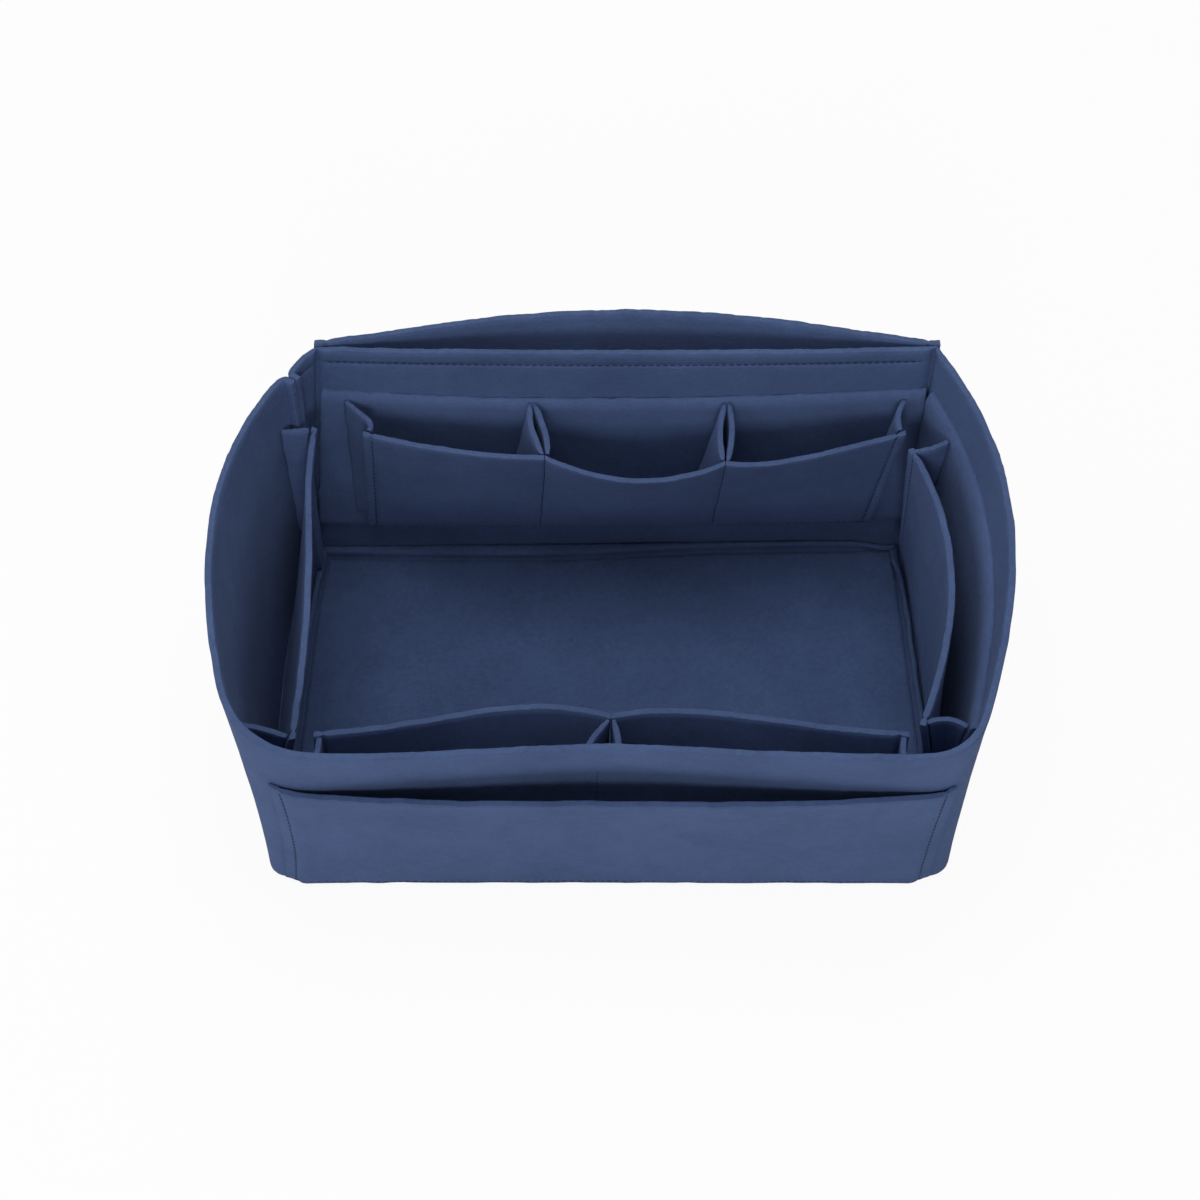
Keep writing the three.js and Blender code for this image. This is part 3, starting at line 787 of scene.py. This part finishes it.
pocket = {
    "foot": 22, "top": 98, "endSeam": 3.8, "footSeam": 2.6,
    "endGroove": 0.58, "footGroove": 0.4, "grooveWidth": 0.95,
    "footPress": 1.3, "footRun": 7,   # the felt is squeezed flat along the foot seam
    "backingSlack": 0.15,             # the backing takes this share of the slack, the panel the rest
    "backingSunk": 0.45, "backingTaper": 0.3, "taperRun": 5,   # a backing thins towards its top edge
    "leafThick": 2.5, "leafTip": 2.4, "leafShare": 0.8, "leafSteps": 22,
    "pinchRun": 5, "pinchShape": 1.5, "blendHeight": 0.55,
}


def pocketRise(z):  # 0 at the foot of the pockets, 1 at their top
    return np.clip((z - pocket["foot"]) / (pocket["top"] - pocket["foot"]), 0, None)


# places along a wall, from its start or from its end; slant leads them inwards towards the foot
def near(inset, slant=0.0):
    return lambda z, length: inset + slant * (pocket["top"] - z)


def far(inset, slant=0.0):
    return lambda z, length: length - inset - slant * (pocket["top"] - z)


# a backing's ends are its insets from the wall's corners, and its top edge dips; drop is how far
# the pleats and gussets come down towards that edge
straightEdge = {"edge": 101, "dip": 0, "dipAt": 0.5, "drop": 0, "slack": 0}
pockets = {
    "back": {
        "wall": walls["back"], "body": "back_pockets", "backed": True, "ends": (2.6, 2.6), "slack": 4,
        "edge": 99, "dip": 3.2, "dipAt": 0.58, "drop": 1.8,
    },
    "front": {
        "wall": walls["front"], "body": "front_pockets", "backed": True, "ends": (23, 23), **straightEdge,
    },
    "left": {"wall": walls["left"], "body": "left_pocket", "backed": False, "slack": 0, "drop": 0},
    "right": {
        "wall": walls["right"], "body": "right_pocket", "backed": True, "ends": (23, 6), **straightEdge,
    },
}

# each end of a panel: its place along the wall at the foot and at the top
panels = {
    "back_pocket_panel_right": {
        "pocket": "back", "from": (near(19), near(13.5)), "to": (near(90 - halfGap), near(90 - halfGap)),
        "depth": (18, 30), "bulge": 4, "peak": 0.65, "pinched": (True, False),
    },
    "back_pocket_panel_middle": {
        "pocket": "back", "from": (near(90 + halfGap), near(90 + halfGap)),
        "to": (far(102 + halfGap), far(99 + halfGap)),
        "depth": (30, 26.5), "bulge": 10.4, "peak": 0.5, "pinched": (False, False),
    },
    "back_pocket_panel_left": {
        "pocket": "back", "from": (far(102 - halfGap), far(99 - halfGap)), "to": (far(25), far(22)),
        "depth": (26.5, 17), "bulge": 2.2, "peak": 0.5, "pinched": (False, True),
    },
    "front_pocket_panel_left": {
        "pocket": "front", "from": (near(27), near(25)), "to": (near(140.5 - halfGap), near(140.5 - halfGap)),
        "depth": (14.5, 19.5), "bulge": 6.5, "peak": 0.68, "pinched": (True, False),
    },
    "front_pocket_panel_right": {
        "pocket": "front", "from": (near(140.5 + halfGap), near(140.5 + halfGap)), "to": (far(29), far(23)),
        "depth": (19.5, 14.5), "bulge": 4.5, "peak": 0.32, "pinched": (False, True),
    },
    "left_pocket_panel": {
        "pocket": "left", "from": (near(26.5), near(17)), "to": (far(20), far(14)),
        "depth": (10, 17.3), "bulge": 16.5, "peak": 0.5, "pinched": (True, True),
    },
    "right_pocket_panel": {
        "pocket": "right", "from": (near(22), near(20.5)), "to": (far(22), far(29)),
        "depth": (15.5, 15), "bulge": -4.2, "peak": 0.5, "pinched": (True, True),
    },
}


def slackAt(place, f, z):
    return place["slack"] * swell(f) * pocketRise(z)


def standOff(place, f, z):  # how far inside the wall's outer face a backing lies
    return felt["thick"] + felt["gap"] + pocket["backingSlack"] * slackAt(place, f, z)


def seatDepth(place, f, z):  # where a pocket is sewn down: on its backing or on the bare wall
    return standOff(place, f, z) + (felt["thick"] + felt["gap"] if place["backed"] else 0)


def panelEnd(panel, end, z):
    foot, top = panel[end]
    length = wallLength(pockets[panel["pocket"]]["wall"], z)
    return lerp(foot(z, length), top(z, length), pocketRise(z))


def panelPlace(panel, f, z):  # along the wall, and depth of the wall-side face
    place = pockets[panel["pocket"]]
    along = lerp(panelEnd(panel, "from", z), panelEnd(panel, "to", z), f)
    depth = lerp(panel["depth"][0], panel["depth"][1], f) + panel["bulge"] * swell(f, panel["peak"])
    f = along / wallLength(place["wall"], z)
    press = pocket["footPress"] * np.clip(1 - (z - pocket["foot"]) / pocket["footRun"], 0, 1) ** 2
    slack = (1 - pocket["backingSlack"]) * slackAt(place, f, z)
    depth = seatDepth(place, f, z) + slack + pocketRise(z) * depth
    return along, depth - dentAt(place["wall"], f, z) - press


def backing(side):
    place = pockets[side]
    wall = place["wall"]
    first, last = place["ends"]
    f = softSteps(float(wallLength(wall, 0)) - first - last)[:, None]
    edge = place["edge"] - place["dip"] * swell(f, place["dipAt"])
    z = lerp(pocket["foot"], edge, softSteps(place["edge"] - pocket["foot"])[None, :])
    length = wallLength(wall, z)
    along = lerp(first, length - last, f)
    depth = standOff(place, along / length, z) - pocket["backingSunk"]
    fromTop = np.clip((edge - z) / pocket["taperRun"], 0, 1)
    thick = felt["thick"] * lerp(pocket["backingTaper"], 1, np.sqrt(1 - (1 - fromTop) ** 2))
    roomSide, wallSide = inWall(wall, along, depth + thick, z), inWall(wall, along, depth, z)
    piece = feltSheet(side + "_backing_felt", roomSide, wallSide)
    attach(piece, "tub")
    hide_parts(side + "_pocket_backing")


def pocketPanel(name):
    panel = panels[name]
    place = pockets[panel["pocket"]]
    rows = softSteps(pocket["top"] - pocket["foot"], [pocket["footSeam"]])
    z = lerp(pocket["foot"], pocket["top"], rows)[None, :]
    width = float(np.mean(panelEnd(panel, "to", z) - panelEnd(panel, "from", z)))
    startPinched, endPinched = panel["pinched"]
    seams = [pocket["endSeam"]] * startPinched + [width - pocket["endSeam"]] * endPinched
    f = softSteps(width, seams)[:, None]
    along, depth = panelPlace(panel, f, z)

    def sewn(a, b, u, v, mid):
        atEnd = (pocket["endSeam"], pocket["endGroove"], pocket["grooveWidth"])
        ends = groove(a, *atEnd) if startPinched else 1.0
        ends = ends * (groove(b, *atEnd) if endPinched else 1.0)
        return ends * groove(u, pocket["footSeam"], pocket["footGroove"], pocket["grooveWidth"])

    piece = feltSheet(
        name.replace("_panel", "") + "_felt",
        inWall(place["wall"], along, depth + felt["thick"], z),
        inWall(place["wall"], along, depth, z),
        thin=sewn,
    )
    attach(piece, place["body"])
    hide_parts(name)


# a pleat leaf or gusset runs from the wall to one end of a panel, and folds between the two
leafFold = {"overlap": 0.36, "setback": 0.0, "pinch": 0.45}
gussetFold = {"overlap": 0.5, "setback": 1.0, "pinch": 0.1}


def blendFold(piece, panel, end, wallAlong, endDepth):
    place = pockets[panel["pocket"]]
    wall = place["wall"]
    z = lerp(pocket["foot"], pocket["top"], pocket["blendHeight"])
    seat = float(seatDepth(place, 0.0, z))
    middle = (float(wallAlong(z, wallLength(wall, z))) + float(panelEnd(panel, end, z))) / 2
    wallPoint = inWall(wall, middle, seat, z)
    panelPoint = inWall(wall, middle, seat + float(pocketRise(z)) * endDepth, z)
    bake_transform(piece)


def foldPiece(fold, node, panelName, end, wallAlong, spread, skew=1.0):
    panel = panels[panelName]
    place = pockets[panel["pocket"]]
    wall = place["wall"]
    towards = 1 if end == "from" else -1
    endShare = 0.0 if end == "from" else 1.0
    endDepth = panel["depth"][0 if end == "from" else 1]
    foot = lerp(pocket["foot"], pocket["top"], pocket["leafTip"] / endDepth)
    t = np.linspace(0, 1, pocket["leafSteps"])
    nearSide, farSide = [], []
    for z in lerp(foot, pocket["top"], softSteps(pocket["top"] - foot)):
        length = wallLength(wall, z)
        thick = min(pocket["leafThick"], pocket["leafShare"] * float(pocketRise(z)) * endDepth)
        atWall = float(wallAlong(z, length)) + towards * thick * fold["overlap"]
        atPanel = float(panelEnd(panel, end, z)) + towards * (thick * fold["overlap"] + fold["setback"])
        seat = float(seatDepth(place, atWall / length, z))
        front = float(panelPlace(panel, endShare, z)[1]) - halfGap
        path = lerp(np.array([atWall, seat]), np.array([atPanel, front]), t[:, None])
        path[:, 0] += towards * spread * pocketRise(z) * np.sin(math.pi * t ** skew)
        low = z - place["drop"] * pocketRise(z) * (1 - t)   # lower at the wall
        for rows, offset in ((nearSide, thick / 2), (farSide, -thick / 2)):
            line = offsetPath(path, offset)
            rows.append(inWall(wall, line[:, 0], line[:, 1], low))

    def pinched(a, b, u, v, mid):
        fromEnd = np.clip(1 - np.minimum(a, b) / pocket["pinchRun"], 0, 1)
        return 1 - fold["pinch"] * fromEnd ** pocket["pinchShape"]

    piece = feltSheet(node + "_felt", np.stack(nearSide, 1), np.stack(farSide, 1), thin=pinched)
    blendFold(piece, panel, end, wallAlong, endDepth)
    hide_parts(node)


for side, place in pockets.items():
    if place["backed"]:
        backing(side)
for name in panels:
    pocketPanel(name)
print("pocket panels made")

# node, panel and its end, place on the wall, how far it spreads, and where along it
leaves = [
    ("back_right_pleat_outer_leaf", "back_pocket_panel_right", "to", near(88 - halfGap), 1.5),
    ("back_right_pleat_inner_leaf", "back_pocket_panel_middle", "from", near(88 + halfGap, 0.2), 1.4),
    ("back_left_pleat_inner_leaf", "back_pocket_panel_middle", "to", far(93 + halfGap), 1.6),
    ("back_left_pleat_outer_leaf", "back_pocket_panel_left", "from", far(93 - halfGap, -0.1), 1.5),
    ("front_pleat_left_leaf", "front_pocket_panel_left", "to", near(131), 0.5),
    ("front_pleat_right_leaf", "front_pocket_panel_right", "from", near(143), 0.5),
]
gussets = [
    ("back_gusset_right", "back_pocket_panel_right", "from", near(10.5, 0.2), 1.6),
    ("back_gusset_left", "back_pocket_panel_left", "to", far(11.8, 0.105), 3.5, 1.6),
    ("front_gusset_left", "front_pocket_panel_left", "from", near(24), 0.4),
    ("front_gusset_right", "front_pocket_panel_right", "to", far(24), 0.4),
    ("left_gusset_back", "left_pocket_panel", "from", near(24), 0.4),
    ("left_gusset_front", "left_pocket_panel", "to", far(25), 0.6),
    ("right_gusset_front", "right_pocket_panel", "from", near(23.5), 2.6),
    ("right_gusset_back", "right_pocket_panel", "to", far(28.5), 0.8),
]
for leaf in leaves:
    foldPiece(leafFold, *leaf)
for gusset in gussets:
    foldPiece(gussetFold, *gusset)
print("pleats and gussets made")


# Seams that show

sewing = {
    "panelMargin": 0.015, "footSunk": 0.45, "endSunk": 0.72, "endFoot": 5, "endTop": 2,
    "rimMargin": 5, "rimSunk": 0.3,
    "pleatAlong": 135.5, "pleatFoot": 62, "pleatTop": 97,
    "slipFoot": 3, "slipTop": 2, "slipSunk": 0.45,
    "baseHeight": 5.0, "leftBase": (20, 24), "rightBase": (24, 6), "backBase": 0.03, "frontBase": 6,
}

# points on the line of a seam, before it is cut into stitches
linePoints = {
    "panelFoot": 60, "panelEnd": 40, "rim": 90, "pleat": 24,
    "frontSlip": 30, "backSlip": 40, "sideBase": 60, "backBase": 80,
}


def faceRow(name, face, body="tub"):  # face gives the line at a depth, outwards from where it is sunk
    stitchRow(name, face(0.0), face(1.0) - face(0.0), body)


def panelSeams(name):
    panel = panels[name]
    place = pockets[panel["pocket"]]

    def row(tag, f, z, sunk):
        along, depth = panelPlace(panel, f, z)
        face = lambda out: inWall(place["wall"], along, depth + felt["thick"] - sunk + out, z)
        faceRow(name.replace("_panel", "") + tag, face, place["body"])

    f = np.linspace(sewing["panelMargin"], 1 - sewing["panelMargin"], linePoints["panelFoot"])
    row("_foot_seam", f, np.full(len(f), pocket["foot"] + pocket["footSeam"]), sewing["footSunk"])
    lowest, highest = pocket["foot"] + sewing["endFoot"], pocket["top"] - sewing["endTop"]
    z = np.linspace(lowest, highest, linePoints["panelEnd"])
    width = panelEnd(panel, "to", z) - panelEnd(panel, "from", z)
    if panel["pinched"][0]:
        row("_start_seam", pocket["endSeam"] / width, z, sewing["endSunk"])
    if panel["pinched"][1]:
        row("_end_seam", 1 - pocket["endSeam"] / width, z, sewing["endSunk"])


def slipSeam(tag, atEnd):
    def face(out):
        line = []
        highest = frontSlip["top"] - sewing["slipTop"]
        for height in np.linspace(sewing["slipFoot"], highest, linePoints["frontSlip"]):
            sunk = felt["thick"] - sewing["slipSunk"]
            run = pathLength(slipFace(height, sunk))
            s = run[-1] - frontSlip["seam"] if atEnd else frontSlip["seam"]
            line.append(atLength(s, run, slipFace(height, sunk + out)))
        return np.array(line)

    faceRow("front_slip_seam_" + tag, face)


def tubSeams():
    back, front = walls["back"], walls["front"]
    thick, foot = felt["thick"], sewing["baseHeight"]
    rimHeight, margin = tub["height"] - rim["seam"], sewing["rimMargin"]
    rimAlong = np.linspace(margin, float(wallLength(back, rimHeight)) - margin, linePoints["rim"])
    faceRow("back_rim_seam", lambda out: inWall(back, rimAlong, thick - sewing["rimSunk"] + out, rimHeight))
    pleatHeights = np.linspace(sewing["pleatFoot"], sewing["pleatTop"], linePoints["pleat"])
    faceRow("front_pleat_seam", lambda out: inWall(front, sewing["pleatAlong"], -out, pleatHeights))

    slipSeam("left", False)
    slipSeam("right", True)
    z = np.linspace(sewing["slipFoot"], tub["height"] - sewing["slipTop"], linePoints["backSlip"])
    for tag, end in (("left", 1), ("right", 0)):
        f = abs(end - backSlip["seam"] / (wallLength(back, z) + 2 * backSlip["tab"]))
        faceRow("back_slip_seam_" + tag, lambda out: backSlipFace(f, z, thick - sewing["slipSunk"] + out))

    for side, (first, last) in (("left", sewing["leftBase"]), ("right", sewing["rightBase"])):
        wall = walls[side]
        along = np.linspace(first, float(wallLength(wall, foot)) - last, linePoints["sideBase"])
        faceRow(side + "_base_seam", lambda out: inWall(wall, along, -out, foot))
    f = np.linspace(sewing["backBase"], 1 - sewing["backBase"], linePoints["backBase"])
    faceRow("back_base_seam", lambda out: backSlipFace(f, np.full(len(f), foot), thick + out))
    skip = sewing["frontBase"]
    faceRow("front_base_seam", lambda out: slipFace(foot, thick + out)[skip:-skip])


for name in panels:
    panelSeams(name)
tubSeams()
print("seams made")


# Floor, light and camera

studioLook = {
    "floor": (0.86, 0.86, 0.86, 1), "size": 6.0, "below": 0.0004,   # metres
    "white": 0.93, "ambient": 0.22,
}

# place and size in metres, and power
softBoxes = {
    "front": ((0, -1.5, 0.85), 0.4, 8.1),
    "corner": ((-0.8, -1.3, 0.7), 1.0, 3.1),
    "top": ((0, 0, 1.7), 1.2, 12.7),
    "side": ((-1.4, 0, 0.9), 1.0, 4.7),
    "back": ((0.3, 1.6, 0.8), 1.0, 5.9),
}
lampTarget = (0, 0, 0.05)

view = {
    "elevation": 54, "distance": 1181.87, "lookUp": -46.97, "lookAcross": -4.06,
    "pixels": 2701.5, "frame": 1200,   # focal length and width of the photo, in its pixels
    "sensor": 36, "clip": 0.01,
}


def seenRays(nodes, links):  # rays that show the background itself, not its light
    path = nodes.new("ShaderNodeLightPath")
    total = path.outputs["Is Camera Ray"]
    for kind in ("Is Glossy Ray", "Is Transmission Ray"):
        more = nodes.new("ShaderNodeMath")
        more.operation = "MAXIMUM"
        links.new(total, more.inputs[0])
        links.new(path.outputs[kind], more.inputs[1])
        total = more.outputs[0]
    return total


def mixShaders(nodes, links, share, one, two, output):
    both = nodes.new("ShaderNodeMixShader")
    links.new(share, both.inputs["Fac"])
    links.new(one, both.inputs[1])
    links.new(two, both.inputs[2])
    links.new(both.outputs["Shader"], nodes[output].inputs["Surface"])


def studio():
    look = studioLook
    bpy.ops.mesh.primitive_plane_add(size=look["size"], location=(0, 0, -look["below"]))
    floor = bpy.context.object
    floor.name = "studio_floor"
    material, nodes, links, shader = newMaterial("paleFloor")
    setSockets(shader, {"Base Color": look["floor"], "Roughness": 1.0, "Specular IOR Level": 0.0})
    glow = nodes.new("ShaderNodeEmission")
    share = nodes.new("ShaderNodeMath")
    share.operation = "MULTIPLY"
    share.inputs[1].default_value = look["white"]
    links.new(seenRays(nodes, links), share.inputs[0])
    surfaces = shader.outputs["BSDF"], glow.outputs["Emission"]
    mixShaders(nodes, links, share.outputs[0], *surfaces, "Material Output")
    floor.data.materials.append(material)

    world = bpy.data.worlds.new("studioWorld")
    bpy.context.scene.world = world
    world.use_nodes = True
    nodes, links = world.node_tree.nodes, world.node_tree.links
    air = nodes["Background"]
    white = nodes.new("ShaderNodeBackground")
    setSockets(air, {"Color": (1, 1, 1, 1), "Strength": look["ambient"]})
    setSockets(white, {"Color": (1, 1, 1, 1)})
    skies = air.outputs["Background"], white.outputs["Background"]
    mixShaders(nodes, links, seenRays(nodes, links), *skies, "World Output")


def softBox(name, place, size, power):
    data = bpy.data.lights.new(name, "AREA")
    data.shape = "SQUARE"
    data.size = size
    data.energy = power
    lamp = bpy.data.objects.new(name, data)
    bpy.context.scene.collection.objects.link(lamp)
    lamp.location = place
    lamp.rotation_euler = (Vector(lampTarget) - Vector(place)).to_track_quat("-Z", "Y").to_euler()


def camera():
    angle = math.radians(view["elevation"])
    forward = Vector((0, math.cos(angle), -math.sin(angle)))
    up = Vector((0, math.sin(angle), math.cos(angle)))
    place = -forward * view["distance"] + up * -view["lookUp"] + Vector((view["lookAcross"], 0, 0))
    data = bpy.data.cameras.new("photoCamera")
    data.sensor_width = view["sensor"]
    data.lens = view["pixels"] / view["frame"] * data.sensor_width
    data.clip_start = view["clip"]
    cam = bpy.data.objects.new("photoCamera", data)
    bpy.context.scene.collection.objects.link(cam)
    right = forward.cross(up)
    turned = Matrix((right, up, -forward)).transposed().to_4x4()
    turned.translation = place * mm
    cam.matrix_world = turned
    bpy.context.scene.camera = cam


studio()
for name, box in softBoxes.items():
    softBox(name + "SoftBox", *box)
camera()
bpy.context.scene.view_settings.view_transform = "Standard"
print("studio made")
